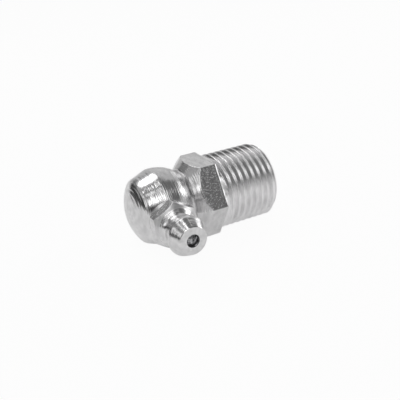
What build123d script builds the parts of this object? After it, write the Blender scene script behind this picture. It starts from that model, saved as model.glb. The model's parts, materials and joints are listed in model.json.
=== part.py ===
"""Ninety-degree grease nipple: hexagon elbow with a pipe-threaded shank, coupler head, check ball and spring.

Sizes are millimetres. +X is the thread axis, pointing away from the hexagon, and X = 0 is the hexagon's
rear face. The coupler head points along -Y, and distances along it are measured from the thread axis.
+Z is up: the nipple lies on its side, as it comes to rest on a bench.
"""
from build123d import *

import os
from math import cos, hypot, pi, radians, sin, sqrt, tan

# ---- Shank with a G 1/4 pipe thread, left as a plain cylinder at the crests
thread_radius = 13.157 / 2
thread_length = 10.6
thread_end_chamfer = 0.8

# ---- Grease gallery along the shank
gallery_radius = 2.0
gallery_overrun = 1.0
gallery_countersink = 0.5
drill_tip_angle = 59.0

# ---- Spanner hexagon, with a cone turned on its front and a fine groove at the cone's root
hexagon_across_flats = 12.9
hexagon_length = 5.1
hexagon_cone_angle = 45.0
hexagon_cone_root_radius = 5.3
root_groove_depth = 0.12
root_groove_width = 0.2

# ---- Elbow ball: its largest ring, the cone in front of the ring, the domed nose and the flared back
head_axis_x = -10.4
ring_radius = 6.58
ring_ahead_of_axis = -0.1
ball_centre_behind_axis = 0.85
cone_length = 3.0
cone_angle = 21.0
nose_length = 1.85
flare_end_angle = 12.5

# ---- Cross hole that the coupler head is fixed in
socket_clearance = 0.01
socket_floor_distance = 2.6
spot_face_depth = 0.88
spot_face_clearance = 0.1
spot_facer_lead = 1.0

# ---- Coupler head, from its inner end to its face
stem_radius = 3.0
stem_end_gap = 0.3
stem_chamfer = 0.4
shoulder_radius = 3.3
shoulder_length = 1.3
flange_across_flats = 7.2
flange_corner_height = 1.4
flange_cone_angle = 45.0
neck_radius = 2.6
neck_fillet = 0.6
head_radius = 3.25
head_back_angle = 45.0
head_land_length = 0.35
head_cone_length = 1.8
head_length = 7.55
face_radius = 2.3
face_chamfer = 0.12

# ---- Valve in the coupler head
mouth_radius = 1.07
ball_radius = 1.4
ball_recess = 0.15
seat_angle = 30.0
seat_clearance = 0.03
ball_side_clearance = 0.1
inlet_lip_radius = 0.9
inlet_lip_thickness = 0.4
spring_wire_radius = 0.2
spring_side_clearance = 0.08
spring_end_clearance = 0.03
spring_turns = 5

# ---- Places on the body that follow from the sizes
hexagon_corner_radius = hexagon_across_flats / 2 / cos(pi / 6)
hexagon_front_x = -hexagon_length
hexagon_corner_x = hexagon_front_x + (
    (hexagon_corner_radius - hexagon_cone_root_radius) / tan(radians(hexagon_cone_angle))
)
ring_x = head_axis_x - ring_ahead_of_axis
nose_ring_x = ring_x - cone_length
nose_ring_radius = ring_radius - cone_length * tan(radians(cone_angle))
nose_tip_x = nose_ring_x - nose_length
nose_radius = (nose_length**2 + nose_ring_radius**2) / (2 * nose_length)
ball_centre_x = head_axis_x + ball_centre_behind_axis
back_radius = hypot(ring_radius, ring_x - ball_centre_x)

# The hollow flare leaves the root of the hexagon's cone at its end angle and is tangent to the ball
flare_run = hexagon_front_x - ball_centre_x
flare_lean = (sin(radians(flare_end_angle)), cos(radians(flare_end_angle)))
flare_radius = (flare_run**2 + hexagon_cone_root_radius**2 - back_radius**2) / (
    2 * (back_radius - flare_run * flare_lean[0] - hexagon_cone_root_radius * flare_lean[1])
)
flare_centre = (
    hexagon_front_x + flare_radius * flare_lean[0],
    hexagon_cone_root_radius + flare_radius * flare_lean[1],
)
flare_share = back_radius / (back_radius + flare_radius)
flare_start = (
    ball_centre_x + (flare_centre[0] - ball_centre_x) * flare_share,
    flare_centre[1] * flare_share,
)

socket_radius = stem_radius + socket_clearance
spot_face_distance = ring_radius - spot_face_depth
spot_facer_start = back_radius + spot_facer_lead
socket_tip_distance = socket_floor_distance - socket_radius / tan(radians(drill_tip_angle))
spot_face_radius = shoulder_radius + spot_face_clearance
gallery_end_x = head_axis_x - gallery_overrun
gallery_tip_x = gallery_end_x - gallery_radius / tan(radians(drill_tip_angle))

# ---- Places on the coupler head that follow from the sizes
stem_end_distance = socket_floor_distance + stem_end_gap
flange_back_distance = spot_face_distance + shoulder_length
face_distance = flange_back_distance + head_length
head_land_front = face_distance - head_cone_length
flange_corner_radius = flange_across_flats / 2 / cos(pi / 6)
flange_corner_distance = flange_back_distance + flange_corner_height
neck_start_distance = flange_corner_distance + (
    (flange_corner_radius - neck_radius) * tan(radians(flange_cone_angle))
)
head_land_back = head_land_front - head_land_length
neck_end_distance = head_land_back - (head_radius - neck_radius) * tan(radians(head_back_angle))

bore_radius = ball_radius + ball_side_clearance
ball_centre_distance = face_distance - ball_recess - ball_radius
seat_touch_radius = (ball_radius + seat_clearance) * cos(radians(seat_angle))
seat_touch_distance = ball_centre_distance + (ball_radius + seat_clearance) * sin(radians(seat_angle))
seat_slope = tan(radians(seat_angle))
seat_front_distance = seat_touch_distance + (seat_touch_radius - mouth_radius) / seat_slope
seat_back_distance = seat_touch_distance - (bore_radius - seat_touch_radius) / seat_slope

spring_radius = bore_radius - spring_side_clearance - spring_wire_radius
spring_seat_distance = stem_end_distance + inlet_lip_thickness
spring_start_distance = spring_seat_distance + spring_wire_radius + spring_end_clearance
spring_reach = ball_radius + spring_wire_radius + spring_end_clearance
spring_end_distance = ball_centre_distance - sqrt(spring_reach**2 - spring_radius**2)
spring_height = spring_end_distance - spring_start_distance

# ---- Planes and axes: the body is drawn as (X, radius), the head as (radius, distance)
thread_axis = Axis((0, 0, 0), (1, 0, 0))
head_axis = Axis((head_axis_x, 0, 0), (0, -1, 0))
body_section = Plane.XZ
head_section = Plane(origin=(head_axis_x, 0, 0), x_dir=(1, 0, 0), z_dir=(0, 0, -1))
bar_end = Plane(origin=(hexagon_front_x, 0, 0), x_dir=(0, 1, 0), z_dir=(1, 0, 0))
flange_end = Plane(origin=(head_axis_x, -flange_back_distance, 0), x_dir=(0, 0, 1), z_dir=(0, -1, 0))

# ---- Elbow body
with BuildPart() as body:
    # Hexagon with corners towards +Y and -Y, so that it lies on a flat
    with BuildSketch(bar_end):
        RegularPolygon(hexagon_across_flats / 2, 6, major_radius=False)
    extrude(amount=hexagon_length)

    # The cone turned on the hexagon takes its front corners off
    with BuildSketch(body_section):
        with BuildLine():
            Polyline(
                (hexagon_front_x, 0),
                (hexagon_front_x, hexagon_cone_root_radius),
                (hexagon_corner_x, hexagon_corner_radius),
                (hexagon_corner_x, hexagon_corner_radius + 1),
                (0, hexagon_corner_radius + 1),
                (0, 0),
                close=True,
            )
        make_face()
    revolve(axis=thread_axis, mode=Mode.INTERSECT)

    # Domed nose, cone, ball and flare
    with BuildSketch(body_section):
        with BuildLine():
            RadiusArc((nose_tip_x, 0), (nose_ring_x, nose_ring_radius), nose_radius)
            Line((nose_ring_x, nose_ring_radius), (ring_x, ring_radius))
            RadiusArc((ring_x, ring_radius), flare_start, back_radius)
            RadiusArc(flare_start, (hexagon_front_x, hexagon_cone_root_radius), -flare_radius)
            Polyline(
                (hexagon_front_x, hexagon_cone_root_radius),
                (hexagon_front_x, 0),
                (nose_tip_x, 0),
            )
        make_face()
    revolve(axis=thread_axis)

    # Shank: crests of the thread and the chamfered end
    with BuildSketch(body_section):
        with BuildLine():
            Polyline(
                (0, 0),
                (0, thread_radius),
                (thread_length - thread_end_chamfer, thread_radius),
                (thread_length, thread_radius - thread_end_chamfer),
                (thread_length, 0),
                close=True,
            )
        make_face()
    revolve(axis=thread_axis)

    # Fine groove at the root of the hexagon's cone
    with BuildSketch(body_section):
        with BuildLine():
            Polyline(
                (hexagon_front_x - root_groove_width / 2, hexagon_cone_root_radius + 1),
                (hexagon_front_x - root_groove_width / 2, hexagon_cone_root_radius),
                (hexagon_front_x, hexagon_cone_root_radius - root_groove_depth),
                (hexagon_front_x + root_groove_width / 2, hexagon_cone_root_radius),
                (hexagon_front_x + root_groove_width / 2, hexagon_cone_root_radius + 1),
                close=True,
            )
        make_face()
    revolve(axis=thread_axis, mode=Mode.SUBTRACT)

    # Cross hole: spot face for the head's shoulder, drilled socket for its stem
    with BuildSketch(head_section):
        with BuildLine():
            Polyline(
                (0, socket_tip_distance),
                (socket_radius, socket_floor_distance),
                (socket_radius, spot_face_distance),
                (spot_face_radius, spot_face_distance),
                (spot_face_radius, spot_facer_start),
                (0, spot_facer_start),
                close=True,
            )
        make_face()
    revolve(axis=head_axis, mode=Mode.SUBTRACT)

    # Grease gallery, drilled from the threaded end into the tip of the socket
    with BuildSketch(body_section):
        with BuildLine():
            Polyline(
                (gallery_tip_x, 0),
                (gallery_end_x, gallery_radius),
                (thread_length - gallery_countersink, gallery_radius),
                (thread_length, gallery_radius + gallery_countersink),
                (thread_length, 0),
                close=True,
            )
        make_face()
    revolve(axis=thread_axis, mode=Mode.SUBTRACT)
body.part.label = "body"

# ---- Coupler head
with BuildPart() as nipple_head:
    # Hexagon flange with corners towards +Z and -Z
    with BuildSketch(flange_end):
        RegularPolygon(flange_across_flats / 2, 6, major_radius=False)
    extrude(amount=neck_start_distance - flange_back_distance)

    # The cone turned on the flange runs down to the neck
    with BuildSketch(head_section):
        with BuildLine():
            Polyline(
                (0, flange_back_distance),
                (flange_corner_radius + 1, flange_back_distance),
                (flange_corner_radius + 1, flange_corner_distance),
                (flange_corner_radius, flange_corner_distance),
                (neck_radius, neck_start_distance),
                (0, neck_start_distance),
                close=True,
            )
        make_face()
    revolve(axis=head_axis, mode=Mode.INTERSECT)

    # Stem and the shoulder that stands on the body's spot face
    with BuildSketch(head_section):
        with BuildLine():
            Polyline(
                (0, stem_end_distance),
                (stem_radius - stem_chamfer, stem_end_distance),
                (stem_radius, stem_end_distance + stem_chamfer),
                (stem_radius, spot_face_distance),
                (shoulder_radius, spot_face_distance),
                (shoulder_radius, flange_back_distance),
                (0, flange_back_distance),
                close=True,
            )
        make_face()
    revolve(axis=head_axis)

    # Neck and head
    with BuildSketch(head_section):
        with BuildLine():
            Polyline(
                (0, flange_back_distance),
                (neck_radius, flange_back_distance),
                (neck_radius, neck_end_distance),
                (head_radius, head_land_back),
                (head_radius, head_land_front),
                (face_radius + face_chamfer / 2, face_distance - face_chamfer),
                (face_radius - face_chamfer / 2, face_distance),
                (0, face_distance),
                close=True,
            )
        make_face()
    revolve(axis=head_axis)
    neck_edges = nipple_head.edges().filter_by(GeomType.CIRCLE).filter_by(
        lambda edge: abs(edge.radius - neck_radius) < 1e-4
    )
    fillet(neck_edges, neck_fillet)

    # Valve passage: inlet lip, spring chamber, cone seat and mouth
    with BuildSketch(head_section):
        with BuildLine():
            Polyline(
                (0, stem_end_distance),
                (inlet_lip_radius, stem_end_distance),
                (inlet_lip_radius, spring_seat_distance),
                (bore_radius, spring_seat_distance),
                (bore_radius, seat_back_distance),
                (mouth_radius, seat_front_distance),
                (mouth_radius, face_distance),
                (0, face_distance),
                close=True,
            )
        make_face()
    revolve(axis=head_axis, mode=Mode.SUBTRACT)
nipple_head.part.label = "nipple_head"

# ---- Check ball, closed against its seat
with BuildPart() as check_ball:
    with Locations((head_axis_x, -ball_centre_distance, 0)):
        Sphere(ball_radius)
check_ball.part.label = "check_ball"

# ---- Spring between the inlet lip and the ball
with BuildPart() as spring:
    with BuildLine() as coil:
        Helix(
            pitch=spring_height / spring_turns,
            height=spring_height,
            radius=spring_radius,
            center=(head_axis_x, -spring_start_distance, 0),
            direction=(0, -1, 0),
        )
    with BuildSketch(Plane(origin=coil.line @ 0, z_dir=coil.line % 0)):
        Circle(spring_wire_radius)
    sweep(is_frenet=True)
spring.part.label = "spring"

os.makedirs("parts", exist_ok=True)
export_step(body.part, "parts/body.step")
export_step(nipple_head.part, "parts/nipple_head.step")
export_step(check_ball.part, "parts/check_ball.step")
export_step(spring.part, "parts/spring.step")
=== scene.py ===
"""Ninety-degree grease nipple: the turned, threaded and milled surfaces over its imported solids.

Lengths are metres. +X runs along the thread away from the hexagon, the coupler head points along -Y and
+Z is up. Each piece starts as one closed grid: stations run along its meridian, or along the spring's
wire, and spokes run round it.
"""
import json
from math import atan2, cos, hypot, pi, radians, sin, tan

import bpy
import numpy as np
from bpy.props import FloatProperty, FloatVectorProperty, PointerProperty
from mathutils import Matrix, Vector

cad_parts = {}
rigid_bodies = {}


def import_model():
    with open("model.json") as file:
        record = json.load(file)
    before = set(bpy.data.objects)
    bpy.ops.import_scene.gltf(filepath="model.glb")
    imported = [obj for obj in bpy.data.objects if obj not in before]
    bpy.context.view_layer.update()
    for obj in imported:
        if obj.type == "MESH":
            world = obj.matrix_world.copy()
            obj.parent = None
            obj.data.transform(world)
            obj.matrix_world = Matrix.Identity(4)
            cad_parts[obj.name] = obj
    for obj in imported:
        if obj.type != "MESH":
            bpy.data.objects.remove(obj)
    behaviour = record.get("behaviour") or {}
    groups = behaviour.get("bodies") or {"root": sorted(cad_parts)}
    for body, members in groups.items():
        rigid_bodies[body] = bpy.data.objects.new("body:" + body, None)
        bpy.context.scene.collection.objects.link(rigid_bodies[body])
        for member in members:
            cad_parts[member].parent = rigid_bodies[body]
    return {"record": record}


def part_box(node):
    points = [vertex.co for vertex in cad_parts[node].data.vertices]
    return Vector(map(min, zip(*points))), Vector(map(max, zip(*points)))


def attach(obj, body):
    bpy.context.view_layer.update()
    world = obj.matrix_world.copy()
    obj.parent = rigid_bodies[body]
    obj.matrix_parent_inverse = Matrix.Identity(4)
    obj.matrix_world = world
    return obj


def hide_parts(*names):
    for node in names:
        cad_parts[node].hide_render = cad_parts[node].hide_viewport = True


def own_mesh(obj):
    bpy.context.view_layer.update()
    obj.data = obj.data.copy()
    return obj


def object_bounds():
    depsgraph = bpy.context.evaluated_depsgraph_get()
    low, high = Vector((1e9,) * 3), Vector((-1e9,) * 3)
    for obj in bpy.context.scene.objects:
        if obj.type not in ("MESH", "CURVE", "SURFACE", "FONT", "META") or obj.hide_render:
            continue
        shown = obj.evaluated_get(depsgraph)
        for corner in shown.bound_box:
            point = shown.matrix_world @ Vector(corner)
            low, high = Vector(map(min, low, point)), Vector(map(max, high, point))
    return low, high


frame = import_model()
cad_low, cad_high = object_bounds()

bl_info = {
    "name": "Grease nipple",
    "version": (1, 0, 0),
    "blender": (4, 5, 0),
    "location": "View3D > Sidebar > Grease nipple",
    "description": "Builds a ninety-degree grease nipple and the stage that it lies on",
    "category": "Object",
}

MM = 0.001
TURN = 2 * pi

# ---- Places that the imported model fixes
mounts = {mount["name"]: mount for mount in frame["record"]["mounts"]}
BODY_LOW, BODY_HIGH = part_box("body")
HEAD_LOW, HEAD_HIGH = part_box("nipple_head")
BALL_LOW, BALL_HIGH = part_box("check_ball")
SPRING_LOW, SPRING_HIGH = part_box("spring")

THREAD_RADIUS = mounts["thread"]["dims"]["r_mm"] * MM
THREAD_END = BODY_HIGH.x
NOSE_TIP = BODY_LOW.x
HEXAGON_CORNER = BODY_HIGH.y
HEAD_AXIS = mounts["coupler_head"]["pos_m"][0]
HEAD_RADIUS = mounts["coupler_head"]["dims"]["r_mm"] * MM
LAND_MIDDLE = -mounts["coupler_head"]["pos_m"][1]
LAND_LENGTH = mounts["coupler_head"]["dims"]["length_mm"] * MM
FACE_DISTANCE = -HEAD_LOW.y
STEM_END = -HEAD_HIGH.y
FLANGE_CORNER = HEAD_HIGH.z
BALL_RADIUS = (BALL_HIGH.x - BALL_LOW.x) / 2
BALL_DISTANCE = -(BALL_HIGH.y + BALL_LOW.y) / 2

# ---- Fixed choices of shape and mesh
SIDES = 6
DRILL_HALF_ANGLE = radians(59)
SHARP_EDGE = radians(32)
THREAD_START = 0.3  # spoke where a crest crosses X = 0, as a share of a turn
STATIONS_PER_PITCH = 24
FINE_BEND = 0.03 * MM
TIGHT_BEND = 0.02 * MM


def distance(label, words, millimetres):
    """A length property whose default is given in millimetres."""
    return FloatProperty(
        name=label,
        description=words,
        default=millimetres * MM,
        unit="LENGTH",
        subtype="DISTANCE",
        precision=5,
    )


def angle(label, words, degrees_wide):
    """An angle property whose default is given in degrees."""
    return FloatProperty(
        name=label,
        description=words,
        default=radians(degrees_wide),
        unit="ROTATION",
        subtype="ANGLE",
    )


def fraction(label, words, value):
    """A number property from nothing to one."""
    return FloatProperty(name=label, description=words, default=value, min=0.0, max=1.0)


def tint(label, words, value):
    """A colour property."""
    return FloatVectorProperty(
        name=label,
        description=words,
        default=value,
        size=3,
        min=0.0,
        max=1.0,
        subtype="COLOR",
    )


class ElbowSizes(bpy.types.PropertyGroup):
    """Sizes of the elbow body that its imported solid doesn't give by its box."""

    hexagon_length: distance("Hexagon length", "From the cone's root to the hexagon's rear face", 5.1)
    cone_root_radius: distance("Cone root radius", "Where the hexagon's cone meets the flare", 5.3)
    ring_ahead: distance("Ring ahead", "From the head's axis forward to the ball's ring", -0.1)
    ring_radius: distance("Ring radius", "Radius of the ball's largest ring", 6.577)
    centre_behind: distance("Ball centre behind", "From the head's axis back to the ball's centre", 0.85)
    front_length: distance("Front cone length", "Length of the cone in front of the ring", 3.0)
    front_angle: angle("Front cone angle", "Slope of the cone in front of the ring", 21.0)
    flare_end: angle("Flare end angle", "Slope of the flare where it meets the hexagon", -10.0)
    groove_width: distance("Groove width", "Width of the groove at the cone's root", 0.2)
    groove_depth: distance("Groove depth", "Depth of the groove at the cone's root", 0.12)
    edge_reach: distance("Edge reach", "How far a softened edge reaches along each face", 0.09)
    nose_blend: distance("Nose blend", "How far the bend between the dome and the cone reaches", 0.45)
    ring_blend: distance("Ring blend", "How far the softened edge of the ring reaches", 0.14)
    rear_reach: distance("Rear chamfer", "Length of the chamfer on the hexagon's rear edge", 0.24)
    rear_angle: angle("Rear chamfer angle", "Slope of the chamfer on the hexagon's rear edge", 25.0)
    corner_rounding: distance("Corner rounding", "Radius on the hexagon's long corners", 0.12)
    thread_pitch: distance("Thread pitch", "From one crest of the thread to the next", 1.16)
    thread_flank: angle("Thread flank", "From a spoke to a flank of the thread", 27.5)
    thread_fade: distance("Thread fade", "Length over which the thread runs out at the hexagon", 0.55)
    lead_length: distance("Lead length", "From the hexagon to where the shank is at its full radius", 0.8)
    collar: distance("Collar", "Plain length of the shank where the thread runs out last", 0.8)
    collar_side: angle("Collar side", "Spoke of the plain length's widest place", 215.0)
    end_chamfer: distance("End chamfer", "Chamfer on the thread's end", 0.8)
    gallery_radius: distance("Gallery radius", "Radius of the grease gallery", 2.0)
    gallery_overrun: distance("Gallery overrun", "How far the gallery runs past the head's axis", 1.0)
    gallery_mouth: distance("Gallery mouth", "Countersink on the gallery's mouth", 0.5)
    socket_radius: distance("Socket radius", "Radius of the cross hole", 3.01)
    socket_floor: distance("Socket floor", "From the thread's axis to the cross hole's floor", 2.6)
    spot_distance: distance("Spot face distance", "From the thread's axis to the spot face", 5.7)
    spot_radius: distance("Spot face radius", "Radius of the spot face", 3.4)


class HeadSizes(bpy.types.PropertyGroup):
    """Sizes of the coupler head and of the valve in it."""

    stem_radius: distance("Stem radius", "Radius of the stem in the cross hole", 3.0)
    stem_chamfer: distance("Stem chamfer", "Chamfer on the stem's inner end", 0.4)
    shoulder_radius: distance("Shoulder radius", "Radius of the shoulder on the spot face", 3.3)
    flange_back: distance("Flange back", "From the thread's axis to the flange", 7.0)
    flange_corner_height: distance("Flange corner height", "Height of the flange's corners", 1.4)
    flange_cone: angle("Flange cone angle", "Slope of the cone that is turned on the flange", 45.0)
    neck_radius: distance("Neck radius", "Radius of the neck", 2.6)
    neck_fillet: distance("Neck fillet", "Hollow at both ends of the neck", 0.6)
    back_angle: angle("Head back angle", "Slope of the cone behind the head", 45.0)
    face_radius: distance("Face radius", "Radius of the flat face", 2.3)
    face_chamfer: distance("Face chamfer", "Broken edge round the face", 0.12)
    mouth_radius: distance("Mouth radius", "Radius of the mouth", 1.07)
    seat_angle: angle("Seat angle", "Slope of the ball's seat", 30.0)
    seat_clearance: distance("Seat clearance", "Gap between the ball and its seat", 0.03)
    bore_gap: distance("Bore gap", "Gap between the ball and the spring chamber", 0.1)
    lip_radius: distance("Inlet lip radius", "Radius of the hole in the inlet lip", 0.9)
    lip_thickness: distance("Inlet lip thickness", "Thickness of the inlet lip", 0.4)
    edge_reach: distance("Edge reach", "How far a softened edge reaches along each face", 0.08)
    corner_rounding: distance("Corner rounding", "Radius on the flange's long corners", 0.25)
    wire_radius: distance("Wire radius", "Radius of the spring's wire", 0.2)
    spring_turns: FloatProperty(name="Spring turns", description="Turns of the spring", default=5.0)


class Finishes(bpy.types.PropertyGroup):
    """Colours and roughness of the metal and the stage."""

    plating: tint("Plating", "Colour of the bright zinc on the turned steel", (0.78, 0.775, 0.78))
    # The check ball's dark colour is painted shade of the recess that it sits in, not the steel's own
    # colour.
    ball: tint("Ball", "Colour of the check ball", (0.33, 0.33, 0.34))
    wire: tint("Wire", "Colour of the spring's wire", (0.42, 0.42, 0.43))
    floor: tint("Floor", "Colour of the floor", (0.93, 0.93, 0.93))
    roughness: fraction("Roughness", "Roughness of the turned steel", 0.17)
    flat_roughness: fraction("Flat roughness", "Roughness of the drawn flats", 0.2)
    streak_width: distance("Streak width", "Width of the broad streaks that the tool left", 0.4)
    feed_pitch: distance("Feed pitch", "How far the tool moved on in one turn", 0.27)
    grain_width: distance("Grain width", "Size of the grain on the drawn flats", 0.24)
    grain_depth: distance("Grain depth", "Depth of the grain on the drawn flats", 0.09)


class StageSizes(bpy.types.PropertyGroup):
    """The camera and the size of the floor."""

    azimuth: angle("Azimuth", "Turn of the camera round the nipple", -25.94)
    elevation: angle("Elevation", "Height of the camera above the floor", 24.45)
    roll: angle("Roll", "Lean of the camera", -4.76)
    target: FloatVectorProperty(
        name="Target",
        description="The point that the camera looks at",
        default=(-3.242 * MM, -3.218 * MM, 0.548 * MM),
        size=3,
        unit="LENGTH",
        subtype="TRANSLATION",
        precision=5,
    )
    camera_distance: distance("Camera distance", "From the target to the camera", 100.0)
    lens: FloatProperty(name="Focal length", description="Focal length in millimetres", default=53.35)
    floor_size: distance("Floor size", "Width of the floor", 3000.0)


# ---------------------------------------------------------------- curves
def line(start, end):
    """Straight run between two points: start plus t times the way to end."""
    return np.array([start, end], float)


def arc(centre, radius, start, end, count=48):
    """Arc: centre plus radius times (cos a, sin a), with a running from the start to the end angle."""
    a = np.linspace(start, end, count)
    return np.stack([centre[0] + radius * np.cos(a), centre[1] + radius * np.sin(a)], axis=1)


def along(curve, distances):
    """Points at given distances along a curve of straight steps, by linear interpolation."""
    steps = np.hypot(*np.diff(curve, axis=0).T)
    reached = np.concatenate([[0.0], np.cumsum(steps)])
    return np.stack([np.interp(distances, reached, curve[:, k]) for k in (0, 1)], axis=1)


def length_of(curve):
    """Length of a curve of straight steps."""
    return np.hypot(*np.diff(curve, axis=0).T).sum()


def bend(before, corner, after, steps):
    """Quadratic curve (1-t)^2 before + 2t(1-t) corner + t^2 after, without its two ends."""
    t = np.linspace(0, 1, steps + 2)[1:-1].reshape((-1,) + (1,) * np.ndim(corner))
    return (1 - t) ** 2 * before + 2 * t * (1 - t) * corner + t**2 * after


def joined(rows, steps):
    """One meridian from curves that meet end to end.

    A row gives a curve, its count of points and the reach of the corner at its end. Each curve is cut back
    by the reach of the corner at either end, and a quadratic bend then rounds each corner."""
    reach = 0.0
    pieces = []
    for curve, count, next_reach in rows:
        kept = along(curve, np.linspace(reach, length_of(curve) - next_reach, count))
        if reach:
            pieces.append(bend(pieces[-1][-1], curve[0], kept[0], steps))
        elif pieces:
            kept = kept[1:]
        pieces.append(kept)
        reach = next_reach
    return np.concatenate(pieces)


def spread(rows, angles, steps=3):
    """One meridian for each spoke, from straight runs whose corners may differ from spoke to spoke.

    A row gives a corner's place and radius, the count of points on the run that starts there and the reach
    of the bend at the run's far end. Each inner corner is rounded over its reach, or over half the run
    where that's less. The last row is only the end point."""
    ones = np.ones_like(angles)
    corners = [np.stack([place * ones, radius * ones], axis=-1) for place, radius, _, _ in rows]
    reach = 0.0
    pieces = []
    for start, end, (_, _, count, next_reach) in zip(corners, corners[1:], rows):
        run = end - start
        length = np.linalg.norm(run, axis=1, keepdims=True)
        way = run / np.maximum(length, 1e-12)
        first = start + way * np.minimum(reach, length / 2)
        final = end - way * np.minimum(next_reach, length / 2)
        t = np.linspace(0, 1, count)[:, None, None]
        if pieces:
            pieces.append(bend(pieces[-1][-1], start, first, steps))
        pieces.append(first + t * (final - first))
        reach = next_reach
    return np.concatenate(pieces)


def spokes_of(first_corner, per_side, rounding_angle):
    """Spoke angles round a hexagon's axis, even on each side, with four extra spokes over each corner."""
    side = TURN / SIDES
    even = np.linspace(rounding_angle, side - rounding_angle, per_side)
    close = np.array([-1.0, -0.5, 0.0, 0.5]) * rounding_angle
    one = np.concatenate([close, even])
    angles = first_corner + (np.arange(SIDES) * side)[:, None] + one[None, :]
    return np.unique(np.round(angles.ravel(), 9))


def rounded_hexagon(angles, first_corner, corner_radius, rounding):
    """Polar radius of a hexagon with rounded corners.

    Within a side it is apothem / cos(a), with a measured from the side's middle. Near a corner it is the
    far side of a circle of the rounding radius, whose centre lies on the corner's spoke."""
    half = pi / SIDES
    apothem = corner_radius * cos(half)
    a = np.abs((angles - first_corner) % (2 * half) - half)
    centre = (apothem - rounding) / cos(half)
    limit = atan2(centre * sin(half), apothem)
    d = half - a
    inside = np.maximum(rounding**2 - (centre * np.sin(d)) ** 2, 0.0)
    return np.where(a < limit, apothem / np.cos(a), centre * np.cos(d) + np.sqrt(inside))


# ---------------------------------------------------------------- meshes
def around_thread(meridian, angles):
    """Place of (X, radius) at each spoke: (X, radius cos a, radius sin a)."""
    x, r = meridian[..., 0], meridian[..., 1]
    return np.stack([x, r * np.cos(angles), r * np.sin(angles)], axis=-1)


def around_head(meridian, angles):
    """Place of (distance, radius) at each spoke: (axis + radius cos a, -distance, radius sin a)."""
    d, r = meridian[..., 0], meridian[..., 1]
    return np.stack([HEAD_AXIS + r * np.cos(angles), -d, r * np.sin(angles)], axis=-1)


def grid_faces(stations, spokes, first=0, looped=False):
    """Four-sided faces between neighbouring stations and spokes, where spokes close on themselves."""
    index = first + np.arange(stations * spokes).reshape(stations, spokes)
    near, far = (index, np.roll(index, -1, axis=0)) if looped else (index[:-1], index[1:])
    next_near, next_far = np.roll(near, -1, axis=1), np.roll(far, -1, axis=1)
    return np.stack([near, far, next_far, next_near], axis=-1).reshape(-1, 4)


def surface(name, points, poles, drawn=None):
    """Mesh over a grid of points, stations by spokes.

    With poles the first and the last station are one point each, joined by a fan of triangles, and
    otherwise the last station joins the first. drawn marks the rows of faces that follow the bar as it
    was drawn, and that the lathe didn't touch."""
    stations, spokes, _ = points.shape
    if poles:
        ring = grid_faces(stations - 2, spokes, first=1)
        last = 1 + (stations - 2) * spokes
        spoke = np.arange(spokes)
        following = np.roll(spoke, -1)
        start_fan = np.stack([np.zeros_like(spoke), 1 + spoke, 1 + following], axis=1)
        end_first = last - spokes
        end_fan = np.stack([end_first + spoke, np.full_like(spoke, last), end_first + following], axis=1)
        end_pole = (stations - 1) * spokes
        keep = np.concatenate([[0], np.arange(spokes, end_pole), [end_pole]])
        faces = ring.tolist() + start_fan.tolist() + end_fan.tolist()
    else:
        keep = np.arange(stations * spokes)
        ring = grid_faces(stations, spokes, looped=True)
        faces = ring.tolist()
    mesh = bpy.data.meshes.new(name)
    mesh.from_pydata(points.reshape(-1, 3)[keep].tolist(), [], faces)
    flat = mesh.attributes.new("drawn", "FLOAT", "FACE")
    marks = np.zeros(len(faces), np.float32)
    if drawn is not None:
        marks[: len(ring)] = np.repeat(drawn, spokes)
    flat.data.foreach_set("value", marks)
    return mesh


def outwards(mesh):
    """Turns the faces round where the mesh's signed volume, a sum of triple products, is negative."""
    mesh.calc_loop_triangles()
    corners = np.empty(len(mesh.loop_triangles) * 3, np.int32)
    mesh.loop_triangles.foreach_get("vertices", corners)
    places = np.empty(len(mesh.vertices) * 3)
    mesh.vertices.foreach_get("co", places)
    a, b, c = places.reshape(-1, 3)[corners.reshape(-1, 3)].transpose(1, 0, 2)
    if np.einsum("ij,ij->", a, np.cross(b, c)) < 0:
        mesh.flip_normals()
    mesh.update()


def piece(name, mesh, material, body, node):
    """Object for a finished mesh: smooth, with its sharp edges marked, riding on a body."""
    outwards(mesh)
    mesh.shade_smooth()
    mesh.set_sharp_from_angle(angle=SHARP_EDGE)
    mesh.materials.clear()
    mesh.materials.append(material)
    made = bpy.data.objects.new(name, mesh)
    bpy.context.scene.collection.objects.link(made)
    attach(made, body)
    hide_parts(node)
    return made


def revolved(profile, angles):
    """The same meridian at every spoke."""
    return np.repeat(profile[:, None, :], len(angles), axis=1)


def on_bar(meridian, corner):
    """True for the stations whose radius is the bar's at every spoke."""
    return np.abs(meridian[:, :, 1] - corner).max(axis=1) < 1e-9


# ---------------------------------------------------------------- elbow body
def smallest(first, second, blend_width):
    """Smooth smaller of two arrays: their mean less half of sqrt(difference^2 + width^2)."""
    return (first + second - np.sqrt((first - second) ** 2 + blend_width**2)) / 2


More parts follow.
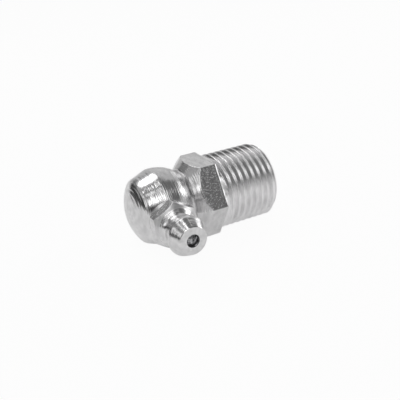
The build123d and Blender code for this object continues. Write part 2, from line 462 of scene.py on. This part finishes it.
def thread_surface(sizes, angles, rear):
    """Radius of the thread at each station and spoke, where the hexagon ends at the rear radius.

    The phase is X / pitch less the spoke's share of a turn, so that the crests climb as a right-hand
    helix. The flanks rise by 1 / tan(flank) and would meet in a sharp crest of height H, of which a sixth
    is rounded off at the crest and at the root, by (H / 6) / (1 / sin(flank) - 1).

    The depth fades in by the smooth step 3t^2 - 2t^3, behind a plain collar whose length is its greatest
    one times ((1 + cos a) / 2)^2, with a measured from the collar's side. The thread stays under a lead,
    which climbs from just below the rear radius, and under the cone of the end chamfer."""
    pitch = sizes.thread_pitch
    slope = 1 / tan(sizes.thread_flank)
    depth = pitch * slope / 3
    rounding = depth / 4 / (1 / sin(sizes.thread_flank) - 1)
    x = np.linspace(0.0, THREAD_END, int(THREAD_END / pitch * STATIONS_PER_PITCH))[:, None]
    phase = x / pitch - angles[None, :] / TURN + THREAD_START
    away = np.abs(phase - np.round(phase)) * pitch
    near = np.minimum(away, pitch / 2 - away)
    straight = slope * (pitch / 4 - near)
    curved = depth / 2 - rounding + np.sqrt(np.maximum(rounding**2 - near**2, 0))
    height = np.where(near < rounding * cos(sizes.thread_flank), curved, straight)
    deep = depth / 2 - np.where(away < pitch / 4, height, -height)

    collar = sizes.collar * ((1 + np.cos(angles - sizes.collar_side)) / 2) ** 2
    fade = np.clip((x - collar) / sizes.thread_fade, 0, 1)
    radius = THREAD_RADIUS - deep * fade**2 * (3 - 2 * fade)
    step_down = 0.01 * MM
    foot = np.minimum(rear - step_down, THREAD_RADIUS)
    lead = foot + (THREAD_RADIUS - foot) * np.clip(x / sizes.lead_length, 0, 1)
    cone = THREAD_RADIUS - sizes.end_chamfer + (THREAD_END - x)
    cone_blend = 0.05 * MM
    radius = smallest(np.minimum(radius, lead), np.broadcast_to(cone, radius.shape), cone_blend)
    return np.stack([np.broadcast_to(x, radius.shape), radius], axis=-1)


def elbow_meridian(sizes):
    """Meridian of the turned front, from the tip of the nose to the root of the hexagon's cone.

    The nose is a cap of radius (length^2 + r^2) / (2 length), with r where it meets the front cone. The
    flare ends at the cone's root with a given slope, and its centre lies square to that slope. It touches
    the ball where its radius is (run^2 + root^2 - ball^2) / (2 (ball - offset)), with offset the way from
    the ball's centre to the root, measured towards the flare's centre."""
    ring_x = HEAD_AXIS - sizes.ring_ahead
    nose_x = ring_x - sizes.front_length
    nose_r = sizes.ring_radius - sizes.front_length * tan(sizes.front_angle)
    nose_length = nose_x - NOSE_TIP
    nose_radius = (nose_length**2 + nose_r**2) / (2 * nose_length)
    nose_angle = atan2(nose_r, NOSE_TIP + nose_radius - nose_x)
    centre_x = HEAD_AXIS + sizes.centre_behind
    back_radius = hypot(sizes.ring_radius, ring_x - centre_x)

    root_x = -sizes.hexagon_length
    root_r = sizes.cone_root_radius
    run = root_x - centre_x
    lean = (sin(sizes.flare_end), cos(sizes.flare_end))
    short_of_ball = back_radius - run * lean[0] - root_r * lean[1]
    flare_radius = (run**2 + root_r**2 - back_radius**2) / (2 * short_of_ball)
    flare_x = root_x + flare_radius * lean[0]
    flare_r = root_r + flare_radius * lean[1]
    meeting = atan2(flare_r, flare_x - centre_x)

    half_groove = sizes.groove_width / 2
    groove_angle = -pi / 2 - sizes.flare_end - half_groove / flare_radius
    nose = arc((NOSE_TIP + nose_radius, 0), nose_radius, pi, pi - nose_angle)
    cone = line((nose_x, nose_r), (ring_x, sizes.ring_radius))
    back = arc((centre_x, 0), back_radius, atan2(sizes.ring_radius, ring_x - centre_x), meeting)
    flare = arc((flare_x, flare_r), flare_radius, meeting - pi, groove_angle)
    bottom = (root_x, root_r - sizes.groove_depth)
    near_wall = line(flare[-1], bottom)
    far_wall = line(bottom, (root_x + half_groove, root_r + half_groove))
    rows = [
        (nose, 22, sizes.nose_blend),
        (cone, 14, sizes.ring_blend),
        (back, 30, 0.0),
        (flare, 18, TIGHT_BEND),
        (near_wall, 3, FINE_BEND),
        (far_wall, 3, 0.0),
    ]
    return joined(rows, steps=7)


def elbow_mesh(sizes):
    """The whole elbow body as one grid of meridians round the thread's axis."""
    angles = spokes_of(first_corner=0.0, per_side=38, rounding_angle=radians(0.5))
    corner = rounded_hexagon(angles, 0.0, HEXAGON_CORNER, sizes.corner_rounding)
    rear = corner - sizes.rear_reach * tan(sizes.rear_angle)
    front = elbow_meridian(sizes)
    thread = thread_surface(sizes, angles, rear)
    root_x, root_r = front[-1]
    soft = sizes.edge_reach
    hexagon = [
        (root_x, root_r, 8, soft),
        (root_x + (corner - root_r), corner, 10, FINE_BEND),
        (-sizes.rear_reach, corner, 3, FINE_BEND),
        (0.0, rear, 3, 0.0),
        (*thread[0].T, 0, 0.0),
    ]
    mouth_r = sizes.gallery_radius + sizes.gallery_mouth
    gallery_end = HEAD_AXIS - sizes.gallery_overrun
    tip = gallery_end - sizes.gallery_radius / tan(DRILL_HALF_ANGLE)
    gallery = [
        (*thread[-1].T, 6, soft),
        (THREAD_END, mouth_r, 4, soft),
        (THREAD_END - sizes.gallery_mouth, sizes.gallery_radius, 12, soft),
        (gallery_end, sizes.gallery_radius, 5, 0.0),
        (tip, 0.0, 0, 0.0),
    ]
    parts = [revolved(front, angles), spread(hexagon, angles)[1:], thread[1:], spread(gallery, angles)[1:]]
    meridian = np.concatenate(parts)
    flat = on_bar(meridian, corner)
    # A row of faces lies between two stations, and the first and last rows are the poles' fans.
    drawn = flat[1:-2] | flat[2:-1]
    return surface("elbow_body", around_thread(meridian, angles), poles=True, drawn=drawn)


def socket_cutter(sizes):
    """Drill and spot facer for the cross hole, as one closed grid round the head's axis."""
    angles = np.linspace(0, TURN, 96, endpoint=False)
    tip = sizes.socket_floor - sizes.socket_radius / tan(DRILL_HALF_ANGLE)
    outside = 9 * MM
    corners = [
        (tip, 0.0),
        (sizes.socket_floor, sizes.socket_radius),
        (sizes.spot_distance, sizes.socket_radius),
        (sizes.spot_distance, sizes.spot_radius),
        (outside, sizes.spot_radius),
        (outside, 0.0),
    ]
    meridian = revolved(np.array(corners), angles)
    mesh = surface("socket_cutter", around_head(meridian, angles), poles=True)
    outwards(mesh)
    return mesh


def cut(mesh, tool_mesh):
    """The mesh with the tool's space taken out of it."""
    scene = bpy.context.scene.collection.objects
    blank = bpy.data.objects.new("blank", mesh)
    tool = bpy.data.objects.new("tool", tool_mesh)
    scene.link(blank)
    scene.link(tool)
    boring = blank.modifiers.new("Boring", "BOOLEAN")
    boring.operation = "DIFFERENCE"
    boring.solver = "EXACT"
    boring.object = tool
    evaluated = blank.evaluated_get(bpy.context.evaluated_depsgraph_get())
    finished = bpy.data.meshes.new_from_object(evaluated)
    bpy.data.objects.remove(blank)
    bpy.data.objects.remove(tool)
    return finished


# ---------------------------------------------------------------- coupler head and valve
def head_mesh(sizes, seat_distance):
    """The coupler head as one looped grid: outside from the stem to the face, then back down the bore.

    Its shoulder stands on the spot face, which lies at the seat distance. The ball's seat is the cone that
    touches a sphere of the ball's radius plus the clearance, and it ends at the mouth and at the bore."""
    upwards = pi / 2
    angles = spokes_of(first_corner=upwards, per_side=22, rounding_angle=radians(1.6))
    corner = rounded_hexagon(angles, upwards, FLANGE_CORNER, sizes.corner_rounding)
    cone = tan(sizes.flange_cone)
    corner_distance = sizes.flange_back + sizes.flange_corner_height
    crease = corner_distance + (FLANGE_CORNER - corner) * cone
    neck_start = corner_distance + (FLANGE_CORNER - sizes.neck_radius) * cone
    land_front = LAND_MIDDLE + LAND_LENGTH / 2
    land_back = LAND_MIDDLE - LAND_LENGTH / 2
    neck_end = land_back - (HEAD_RADIUS - sizes.neck_radius) * tan(sizes.back_angle)
    bore = BALL_RADIUS + sizes.bore_gap
    touch = BALL_RADIUS + sizes.seat_clearance
    touch_r = touch * cos(sizes.seat_angle)
    touch_d = BALL_DISTANCE + touch * sin(sizes.seat_angle)
    slope = tan(sizes.seat_angle)
    seat_front = touch_d + (touch_r - sizes.mouth_radius) / slope
    seat_back = touch_d - (bore - touch_r) / slope
    lip = STEM_END + sizes.lip_thickness
    soft = sizes.edge_reach
    fine = soft / 2
    hollow = sizes.neck_fillet / 2
    bead = sizes.face_chamfer
    rows = [
        (STEM_END, sizes.lip_radius, 4, fine),
        (STEM_END, sizes.stem_radius - sizes.stem_chamfer, 2, fine),
        (STEM_END + sizes.stem_chamfer, sizes.stem_radius, 4, TIGHT_BEND),
        (seat_distance, sizes.stem_radius, 2, fine),
        (seat_distance, sizes.shoulder_radius, 4, TIGHT_BEND),
        (sizes.flange_back, sizes.shoulder_radius, 3, soft),
        (sizes.flange_back, corner, 8, soft),
        (crease, corner, 12, hollow),
        (neck_start, sizes.neck_radius, 4, hollow),
        (neck_end, sizes.neck_radius, 6, soft),
        (land_back, HEAD_RADIUS, 3, soft),
        (land_front, HEAD_RADIUS, 10, fine),
        (FACE_DISTANCE - bead, sizes.face_radius + bead / 2, 2, fine),
        (FACE_DISTANCE, sizes.face_radius - bead / 2, 6, fine),
        (FACE_DISTANCE, sizes.mouth_radius, 4, fine),
        (seat_front, sizes.mouth_radius, 3, fine),
        (seat_back, bore, 8, fine),
        (lip, bore, 3, fine),
        (lip, sizes.lip_radius, 3, 0.0),
        (STEM_END, sizes.lip_radius, 0, 0.0),
    ]
    meridian = spread(rows, angles, steps=4)[:-1]
    drawn = on_bar(meridian, corner)
    return surface("coupler_head", around_head(meridian, angles), poles=False, drawn=drawn)


def ball_mesh():
    """The check ball: (distance, radius) = centre plus radius times (cos a, sin a)."""
    angles = np.linspace(0, TURN, 64, endpoint=False)
    a = np.linspace(0, pi, 49)
    profile = np.stack([BALL_DISTANCE + BALL_RADIUS * np.cos(a), BALL_RADIUS * np.sin(a)], axis=1)
    meridian = revolved(profile, angles)
    return surface("valve_ball", around_head(meridian, angles), poles=True)


def spring_mesh(sizes):
    """The spring: a round wire carried along a helix, with domed ends.

    A point lies at the helix point plus wire radius times (cos b times outward plus sin b times the wire's
    binormal). The first and last stations shrink the wire to a point."""
    coil = (SPRING_HIGH.x - SPRING_LOW.x) / 2 - sizes.wire_radius
    start = -SPRING_HIGH.y + sizes.wire_radius
    end = -SPRING_LOW.y - sizes.wire_radius
    stations_per_turn = 40
    t = np.linspace(0, 1, int(sizes.spring_turns * stations_per_turn))
    a = TURN * sizes.spring_turns * t
    climb = start + (end - start) * t
    centre = np.stack([HEAD_AXIS + coil * np.cos(a), -climb, coil * np.sin(a)], axis=-1)
    tangent = np.gradient(centre, axis=0)
    tangent /= np.linalg.norm(tangent, axis=1, keepdims=True)
    outward = np.stack([np.cos(a), np.zeros_like(a), np.sin(a)], axis=-1)
    binormal = np.cross(tangent, outward)
    b = np.linspace(0, TURN, 14, endpoint=False)
    wire = np.cos(b)[:, None] * outward[:, None, :] + np.sin(b)[:, None] * binormal[:, None, :]
    points = centre[:, None, :] + sizes.wire_radius * wire
    caps = [np.repeat(centre[k][None, None, :], len(b), axis=1) for k in (0, -1)]
    points = np.concatenate([caps[0], points, caps[1]])
    return surface("valve_spring", points, poles=True)


# ---------------------------------------------------------------- finishes
class Nodes:
    """Node tree of a material or a world, with its arithmetic."""

    def __init__(self, owner):
        owner.use_nodes = True
        self.nodes = owner.node_tree.nodes
        self.links = owner.node_tree.links

    def put(self, value, socket):
        """Links a socket into another one, or writes a number there."""
        if isinstance(value, bpy.types.NodeSocket):
            self.links.new(value, socket)
        else:
            socket.default_value = value

    def math(self, operation, *values):
        """One step of arithmetic on sockets or numbers."""
        node = self.nodes.new("ShaderNodeMath")
        node.operation = operation
        for value, socket in zip(values, node.inputs):
            self.put(value, socket)
        return node.outputs["Value"]

    def mixed(self, share, first, second, label=""):
        """First where the share is nothing, second where it is one."""
        mix = self.nodes.new("ShaderNodeMix")
        mix.label = label
        mix.data_type = "FLOAT"
        for value, name in ((share, "Factor"), (first, "A"), (second, "B")):
            self.put(value, mix.inputs[name])
        return mix.outputs["Result"]

    def either(self, share, first, second, end):
        """Shows the first shader where the share is nothing and the second where it is one."""
        mix = self.nodes.new("ShaderNodeMixShader")
        for value, socket in zip((share, first, second), mix.inputs):
            self.links.new(value, socket)
        self.links.new(mix.outputs["Shader"], end)


class Finish(Nodes):
    """Node tree of one metal that was turned about an axis, with its patterns.

    The patterns read the distance along the axis, the radius, and the cosine and sine of the spoke."""

    def __init__(self, name, colour, about_thread):
        self.material = bpy.data.materials.new(name)
        super().__init__(self.material)
        self.shader = self.nodes["Principled BSDF"]
        self.shader.inputs["Metallic"].default_value = 1.0
        self.shader.inputs["Base Color"].default_value = (*colour, 1.0)
        self.place = self.nodes.new("ShaderNodeTexCoord").outputs["Object"]
        axes = self.nodes.new("ShaderNodeSeparateXYZ")
        self.links.new(self.place, axes.inputs["Vector"])
        if about_thread:
            self.along, first = axes.outputs["X"], axes.outputs["Y"]
        else:
            self.along, first = axes.outputs["Y"], self.math("SUBTRACT", axes.outputs["X"], HEAD_AXIS)
        second = axes.outputs["Z"]
        squares = [self.math("MULTIPLY", side, side) for side in (first, second)]
        self.radius = self.math("SQRT", self.math("ADD", *squares))
        self.cosine = self.math("DIVIDE", first, self.radius)
        self.sine = self.math("DIVIDE", second, self.radius)
        drawn = self.nodes.new("ShaderNodeAttribute")
        drawn.attribute_name = "drawn"
        self.drawn = drawn.outputs["Fac"]

    def turning(self, width, depth, length, detail=2.0):
        """Tool marks that run on round the axis: their height, from half the depth below to above.

        width is the size of a mark across, and length is how far it runs on, as a share of the radius. The
        noise is read at (along / width, radius / width, cos / length, sin / length)."""
        vector = self.nodes.new("ShaderNodeCombineXYZ")
        sides = {"X": (self.along, width), "Y": (self.radius, width), "Z": (self.cosine, length)}
        for name, (side, size) in sides.items():
            self.links.new(self.math("DIVIDE", side, size), vector.inputs[name])
        pattern = self.nodes.new("ShaderNodeTexNoise")
        pattern.noise_dimensions = "4D"
        pattern.inputs["Scale"].default_value = 1.0
        pattern.inputs["Detail"].default_value = detail
        self.links.new(vector.outputs["Vector"], pattern.inputs["Vector"])
        self.links.new(self.math("DIVIDE", self.sine, length), pattern.inputs["W"])
        return self.math("MULTIPLY", self.math("SUBTRACT", pattern.outputs["Fac"], 0.5), depth)

    def feed(self, pitch, depth):
        """Ridges that the tool leaves at each turn: depth times (2 x share of the pitch)^4.

        The share runs from a half below to a half above, along the axis and wandering a little."""
        wander = self.turning(4 * pitch, 0.5, 0.8)
        turns = self.math("ADD", self.math("DIVIDE", self.along, pitch), wander)
        share = self.math("SUBTRACT", self.math("FRACT", turns), 0.5)
        square = self.math("MULTIPLY", share, share)
        return self.math("MULTIPLY", self.math("MULTIPLY", square, square), 16 * depth)

    def specks(self, width, depth):
        """Small knobs strewn over a smooth face: depth times what the grain has above its threshold."""
        threshold = 0.08
        above = self.math("SUBTRACT", self.grain(width, 1.0, detail=1.0), threshold)
        return self.math("MULTIPLY", self.math("MAXIMUM", above, 0.0), depth)

    def grain(self, width, depth, detail=3.0):
        """Grain of one size in every direction: its height, from half the depth below to above."""
        pattern = self.nodes.new("ShaderNodeTexNoise")
        pattern.inputs["Scale"].default_value = 1 / width
        pattern.inputs["Detail"].default_value = detail
        pattern.inputs["Roughness"].default_value = 0.6
        self.links.new(self.place, pattern.inputs["Vector"])
        return self.math("MULTIPLY", self.math("SUBTRACT", pattern.outputs["Fac"], 0.5), depth)

    def stain(self, colour, marks, plain, change):
        """Lays the colour on in marks: colour times (plain + change x marks), and never below nothing."""
        dulled = self.nodes.new("ShaderNodeVectorMath")
        dulled.operation = "SCALE"
        dulled.inputs[0].default_value = colour
        strength = self.math("ADD", self.math("MULTIPLY", marks, change), plain)
        self.links.new(self.math("MAXIMUM", strength, 0.0), dulled.inputs["Scale"])
        self.links.new(dulled.outputs["Vector"], self.shader.inputs["Base Color"])

    def lay(self, height, roughness):
        """Puts the height into the shader as bump, and the roughness on its socket."""
        bump = self.nodes.new("ShaderNodeBump")
        bump.inputs["Strength"].default_value = 1.0
        bump.inputs["Distance"].default_value = 1.0
        self.links.new(height, bump.inputs["Height"])
        self.links.new(bump.outputs["Normal"], self.shader.inputs["Normal"])
        self.links.new(roughness, self.shader.inputs["Roughness"])
        return self.material


def zinc_steel(name, looks, about_thread, streak_depth, feed_depth):
    """Turned steel with bright zinc: streaks and ridges of the tool, and grainy flats where it was drawn.

    The dome and the thread are cut finer than the rest of the elbow. The flange is duller than the head,
    and scratched."""
    metal = Finish(name, looks.plating, about_thread)
    streaks = metal.turning(looks.streak_width, streak_depth, length=0.6)
    ridges = metal.feed(looks.feed_pitch, feed_depth)
    cloudy = metal.turning(width=2 * MM, depth=looks.roughness, length=0.8)
    shine = metal.math("ADD", cloudy, looks.roughness)
    blotches = metal.turning(width=0.9 * MM, depth=1.0, length=0.35)
    brightness = 0.94
    if about_thread:
        dome_end = HEAD_AXIS - 3 * MM
        dome_streaks, thread_streaks = 0.5, 0.15
        thread_dullness, thread_brightness = 0.06, 1.1
        dome = metal.math("LESS_THAN", metal.along, dome_end)
        front = metal.mixed(dome, 1.0, dome_streaks)
        thread = metal.math("GREATER_THAN", metal.along, 0.0)
        streaks = metal.math("MULTIPLY", streaks, metal.mixed(thread, front, thread_streaks))
        ridges = metal.mixed(thread, ridges, 0.0)
        shine = metal.math("ADD", shine, metal.math("MULTIPLY", thread, thread_dullness))
        brightness = metal.mixed(thread, brightness, thread_brightness)
    else:
        flange_dullness = 0.14
        flange = metal.math("GREATER_THAN", metal.radius, HEAD_RADIUS * 1.01)
        scratches = metal.turning(width=0.2 * MM, depth=0.1 * MM, length=0.9)
        streaks = metal.math("ADD", streaks, metal.math("MULTIPLY", scratches, flange))
        shine = metal.math("ADD", shine, metal.math("MULTIPLY", flange, flange_dullness))
    turned = metal.math("ADD", streaks, ridges)
    height = metal.mixed(metal.drawn, turned, metal.specks(looks.grain_width, looks.grain_depth))
    metal.stain(looks.plating, blotches, brightness, change=0.5)
    return metal.lay(height, metal.mixed(metal.drawn, shine, looks.flat_roughness))


def plain_steel(name, colour, roughness, depth, blotches):
    """Ground or drawn steel with faint marks and with darker blotches. Strong blotches, as on the check
    ball, are painted glints and painted shade.
    """
    metal = Finish(name, colour, about_thread=False)
    metal.stain(colour, metal.grain(width=0.5 * MM, depth=1.0), plain=1.0, change=blotches)
    shine = metal.math("ADD", metal.grain(width=0.8 * MM, depth=roughness), roughness)
    return metal.lay(metal.grain(width=0.3 * MM, depth=depth), shine)


def stage_white(name, colour, seen, mirrored):
    """Pale floor that takes shadows, under a share of plain white: one share is seen, one is mirrored."""
    material = bpy.data.materials.new(name)
    floor = Nodes(material)
    floor.nodes.remove(floor.nodes["Principled BSDF"])
    matt = floor.nodes.new("ShaderNodeBsdfDiffuse")
    matt.inputs["Color"].default_value = (*colour, 1.0)
    white = floor.nodes.new("ShaderNodeEmission")
    white.inputs["Strength"].default_value = 1.0
    ray = floor.nodes.new("ShaderNodeLightPath").outputs
    shares = [
        floor.math("MULTIPLY", ray["Is Camera Ray"], seen),
        floor.math("MULTIPLY", ray["Is Glossy Ray"], mirrored),
    ]
    end = floor.nodes["Material Output"].inputs["Surface"]
    floor.either(floor.math("ADD", *shares), matt.outputs["BSDF"], white.outputs["Emission"], end)
    return material


# ---------------------------------------------------------------- operators
class GREASE_OT_elbow_body(bpy.types.Operator):
    """Builds the elbow body: dome, ball, hexagon, thread, gallery and cross hole"""

    bl_idname = "grease_nipple.elbow_body"
    bl_label = "Elbow body"

    def execute(self, context):
        sizes = context.scene.nipple_elbow
        looks = context.scene.nipple_finishes
        steel = zinc_steel("Zinc plated elbow", looks, True, streak_depth=0.075 * MM, feed_depth=0.006 * MM)
        mesh = cut(elbow_mesh(sizes), socket_cutter(sizes))
        piece("elbow_body", mesh, steel, "nipple", "body")
        return {"FINISHED"}


class GREASE_OT_coupler_head(bpy.types.Operator):
    """Builds the coupler head with its hexagon flange, neck, face and valve passage"""

    bl_idname = "grease_nipple.coupler_head"
    bl_label = "Coupler head"

    def execute(self, context):
        scene = context.scene
        looks = scene.nipple_finishes
        steel = zinc_steel("Zinc plated head", looks, False, streak_depth=0.07 * MM, feed_depth=0.008 * MM)
        mesh = head_mesh(scene.nipple_head, scene.nipple_elbow.spot_distance)
        piece("coupler_head", mesh, steel, "nipple", "nipple_head")
        return {"FINISHED"}


class GREASE_OT_valve(bpy.types.Operator):
    """Builds the check ball and its spring"""

    bl_idname = "grease_nipple.valve"
    bl_label = "Check valve"

    def execute(self, context):
        sizes = context.scene.nipple_head
        looks = context.scene.nipple_finishes
        # The ball's dark colour is painted shade of the recess that it sits in, and its strong blotches,
        # which take the colour from nothing to several times itself, are painted glints and painted dark
        # reflections.
        ball_with_painted_shade = plain_steel("Polished ball", looks.ball, roughness=0.1, depth=0.03 * MM, blotches=7.0)
        piece("valve_ball", ball_mesh(), ball_with_painted_shade, "ball", "check_ball")
        wire = plain_steel("Spring wire", looks.wire, roughness=0.3, depth=0.004 * MM, blotches=0.5)
        coil = piece("valve_spring", spring_mesh(sizes), wire, "nipple", "spring")
        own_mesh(coil)
        return {"FINISHED"}


class GREASE_OT_stage(bpy.types.Operator):
    """Builds the floor, the lamps, the surroundings and the camera"""

    bl_idname = "grease_nipple.stage"
    bl_label = "Stage"

    def execute(self, context):
        sizes = context.scene.nipple_stage
        looks = context.scene.nipple_finishes
        lay_floor(sizes, looks)
        for row in LAMPS:
            lamp(*row)
        surround(context.scene)
        place_camera(context.scene, sizes)
        context.scene.view_settings.view_transform = "Standard"
        return {"FINISHED"}


def lay_floor(sizes, looks):
    """Square floor under the lowest point of the nipple."""
    half = sizes.floor_size / 2
    corners = [(x, y, cad_low.z) for x, y in ((-half, -half), (half, -half), (half, half), (-half, half))]
    mesh = bpy.data.meshes.new("floor")
    mesh.from_pydata(corners, [], [(0, 1, 2, 3)])
    mesh.materials.append(stage_white("Pale floor", looks.floor, seen=0.95, mirrored=0.38))
    floor = bpy.data.objects.new("floor", mesh)
    bpy.context.scene.collection.objects.link(floor)


def pointing(azimuth, elevation):
    """Direction at an azimuth, which runs from -Y towards +X, and an elevation, on the unit sphere."""
    return Vector((sin(azimuth) * cos(elevation), -cos(azimuth) * cos(elevation), sin(elevation)))


LAMP_DISTANCE = 0.35
# Azimuth and elevation of each lamp, its width and height in degrees, and its radiance.
LAMPS = (
    ("front box", -30.0, 41.0, 13.0, 16.0, 1.87),
    ("rear box", -163.0, 58.0, 29.0, 26.0, 1.72),
    ("side box", 89.0, 20.0, 30.0, 24.0, 1.6),
)


def lamp(name, azimuth, elevation, wide, tall, radiance):
    """Soft rectangular lamp facing the nipple, which it spans by an angle each way.

    Each side is 2 x distance x tan(half its angle), and the power is radiance times pi times the area."""
    way = pointing(radians(azimuth), radians(elevation))
    light = bpy.data.lights.new(name, "AREA")
    light.shape = "RECTANGLE"
    light.size = 2 * LAMP_DISTANCE * tan(radians(wide / 2))
    light.size_y = 2 * LAMP_DISTANCE * tan(radians(tall / 2))
    light.energy = radiance * pi * light.size * light.size_y
    made = bpy.data.objects.new(name, light)
    made.location = way * LAMP_DISTANCE
    made.rotation_euler = way.to_track_quat("Z", "Y").to_euler()
    bpy.context.scene.collection.objects.link(made)


class Room(Nodes):
    """Shade of the room in every direction, built up as soft-edged cards over a plain grey."""

    def __init__(self, world, plain):
        super().__init__(world)
        place = self.nodes.new("ShaderNodeTexCoord")
        axes = self.nodes.new("ShaderNodeSeparateXYZ")
        self.links.new(place.outputs["Generated"], axes.inputs["Vector"])
        front = self.math("MULTIPLY", axes.outputs["Y"], -1.0)
        self.azimuth = self.math("ARCTAN2", axes.outputs["X"], front)
        self.elevation = self.math("ARCSINE", axes.outputs["Z"])
        self.shade = plain

    def within(self, offset, half, soft):
        """One inside a half width and nothing outside it, with a smooth step of the given softness."""
        step = self.nodes.new("ShaderNodeMapRange")
        step.interpolation_type = "SMOOTHSTEP"
        step.inputs["From Min"].default_value = half + soft / 2
        step.inputs["From Max"].default_value = half - soft / 2
        self.links.new(self.math("ABSOLUTE", offset), step.inputs["Value"])
        return step.outputs["Result"]

    def card(self, name, azimuth, elevation, wide, tall, soft, shade):
        """Lays a card of one shade over what is there, round an azimuth and elevation, all in degrees."""
        turned = self.math("SUBTRACT", self.azimuth, radians(azimuth))
        turned = self.math("WRAP", turned, pi, -pi)
        raised = self.math("SUBTRACT", self.elevation, radians(elevation))
        across = self.within(turned, radians(wide / 2), radians(soft))
        upwards = self.within(raised, radians(tall / 2), radians(soft))
        self.shade = self.mixed(self.math("MULTIPLY", across, upwards), self.shade, shade, label=name)


# Azimuth and elevation of each card's middle, its width, height and softness in degrees, and its shade.
# A later card covers an earlier one.
CARDS = (
    ("dim ceiling", 0.0, 85.0, 400.0, 40.0, 20.0, 0.17),
    ("grey wall at the dome", -112.0, 42.0, 56.0, 40.0, 10.0, 0.4),
    ("pale wall at the dome", -70.0, 38.0, 26.0, 18.0, 6.0, 0.6),
    ("dark skirting at the dome", -120.0, 9.0, 80.0, 16.0, 5.0, 0.05),
    ("dark slit at the dome's foot", -81.0, 3.0, 26.0, 9.0, 4.0, 0.04),
    ("dark panel at the back", -165.0, 25.0, 24.0, 20.0, 5.0, 0.18),
    ("grey panel before the dome", -56.0, 19.0, 26.0, 16.0, 8.0, 0.36),
    ("black panel before the head", -26.0, 20.0, 50.0, 20.0, 8.0, 0.02),
    ("dark wall at the thread", 57.0, 55.0, 95.0, 40.0, 14.0, 0.15),
    ("dark panel at the thread", 42.0, 29.0, 44.0, 22.0, 8.0, 0.125),
    ("grey strip at the thread", 36.0, 51.0, 36.0, 7.0, 5.0, 0.4),
    ("grey skirting at the dome", -66.0, 4.0, 40.0, 14.0, 8.0, 0.25),
    ("dark panel over the dome", -89.0, 51.0, 26.0, 16.0, 5.0, 0.08),
    ("dark strip before the dome", -52.0, 54.0, 24.0, 9.0, 4.0, 0.2),
    ("light strip over the dome", -91.0, 65.5, 16.0, 8.0, 3.0, 2.2),
    ("light strip before the dome", -49.0, 65.5, 16.0, 8.0, 3.0, 1.6),
    ("tall light in front", 4.0, 56.0, 22.0, 44.0, 5.0, 1.3),
    ("wide light in front", -12.0, 57.0, 30.0, 17.0, 5.0, 1.8),
    ("light in the ceiling", -90.0, 86.5, 180.0, 13.0, 3.0, 2.3),
    ("low light at the dome", -75.0, 22.0, 14.0, 16.0, 4.0, 1.45),
    ("light strip at the dome", -96.0, 35.0, 24.0, 8.0, 4.0, 1.2),
    ("dark panel behind the dome", -146.0, 31.0, 22.0, 18.0, 5.0, 0.2),
    ("low light behind the thread", 125.0, 13.5, 30.0, 13.0, 6.0, 1.2),
    ("pale panel at the back", 156.0, 26.0, 20.0, 18.0, 6.0, 0.68),
)


def surround(scene):
    """World: white to the camera, and a grey room with dark and light cards for light and reflections."""
    world = bpy.data.worlds.new("Surroundings")
    scene.world = world
    room = Room(world, plain=0.54)
    for card in CARDS:
        room.card(*card)
    shaded = room.nodes["Background"]
    white = room.nodes.new("ShaderNodeBackground")
    for background, strength in ((shaded, room.shade), (white, 1.0)):
        background.inputs["Color"].default_value = (1, 1, 1, 1)
        room.put(strength, background.inputs["Strength"])
    ray = room.nodes.new("ShaderNodeLightPath").outputs
    end = room.nodes["World Output"].inputs["Surface"]
    room.either(ray["Is Camera Ray"], shaded.outputs["Background"], white.outputs["Background"], end)


def place_camera(scene, sizes):
    """Camera on a sphere round its target, turned by azimuth and elevation and leaned by its roll."""
    back = pointing(sizes.azimuth, sizes.elevation)
    turn = back.to_track_quat("Z", "Y").to_matrix() @ Matrix.Rotation(sizes.roll, 3, "Z")
    target = Vector(sizes.target)
    camera = bpy.data.cameras.new("Camera")
    camera.lens = sizes.lens
    camera.clip_start = 0.001
    camera.clip_end = 20.0
    made = bpy.data.objects.new("Camera", camera)
    made.matrix_world = Matrix.Translation(target + back * sizes.camera_distance) @ turn.to_4x4()
    scene.collection.objects.link(made)
    scene.camera = made


class GREASE_PT_nipple(bpy.types.Panel):
    """Lists the pieces of the grease nipple and its stage"""

    bl_label = "Grease nipple"
    bl_idname = "GREASE_PT_nipple"
    bl_space_type = "VIEW_3D"
    bl_region_type = "UI"
    bl_category = "Grease nipple"

    def draw(self, context):
        for operator in OPERATORS:
            self.layout.operator(operator.bl_idname, text=operator.bl_label)


OPERATORS = (GREASE_OT_elbow_body, GREASE_OT_coupler_head, GREASE_OT_valve, GREASE_OT_stage)
GROUPS = {
    "nipple_elbow": ElbowSizes,
    "nipple_head": HeadSizes,
    "nipple_finishes": Finishes,
    "nipple_stage": StageSizes,
}


def register():
    """Registers the groups, the operators and the panel."""
    for attribute, group in GROUPS.items():
        bpy.utils.register_class(group)
        setattr(bpy.types.Scene, attribute, PointerProperty(type=group))
    for operator in (*OPERATORS, GREASE_PT_nipple):
        bpy.utils.register_class(operator)


def unregister():
    """Takes them out again."""
    for operator in (GREASE_PT_nipple, *reversed(OPERATORS)):
        bpy.utils.unregister_class(operator)
    for attribute, group in reversed(GROUPS.items()):
        delattr(bpy.types.Scene, attribute)
        bpy.utils.unregister_class(group)


def main():
    """Builds every piece and the stage."""
    register()
    bpy.ops.grease_nipple.elbow_body()
    bpy.ops.grease_nipple.coupler_head()
    bpy.ops.grease_nipple.valve()
    bpy.ops.grease_nipple.stage()


if __name__ == "__main__":
    main()
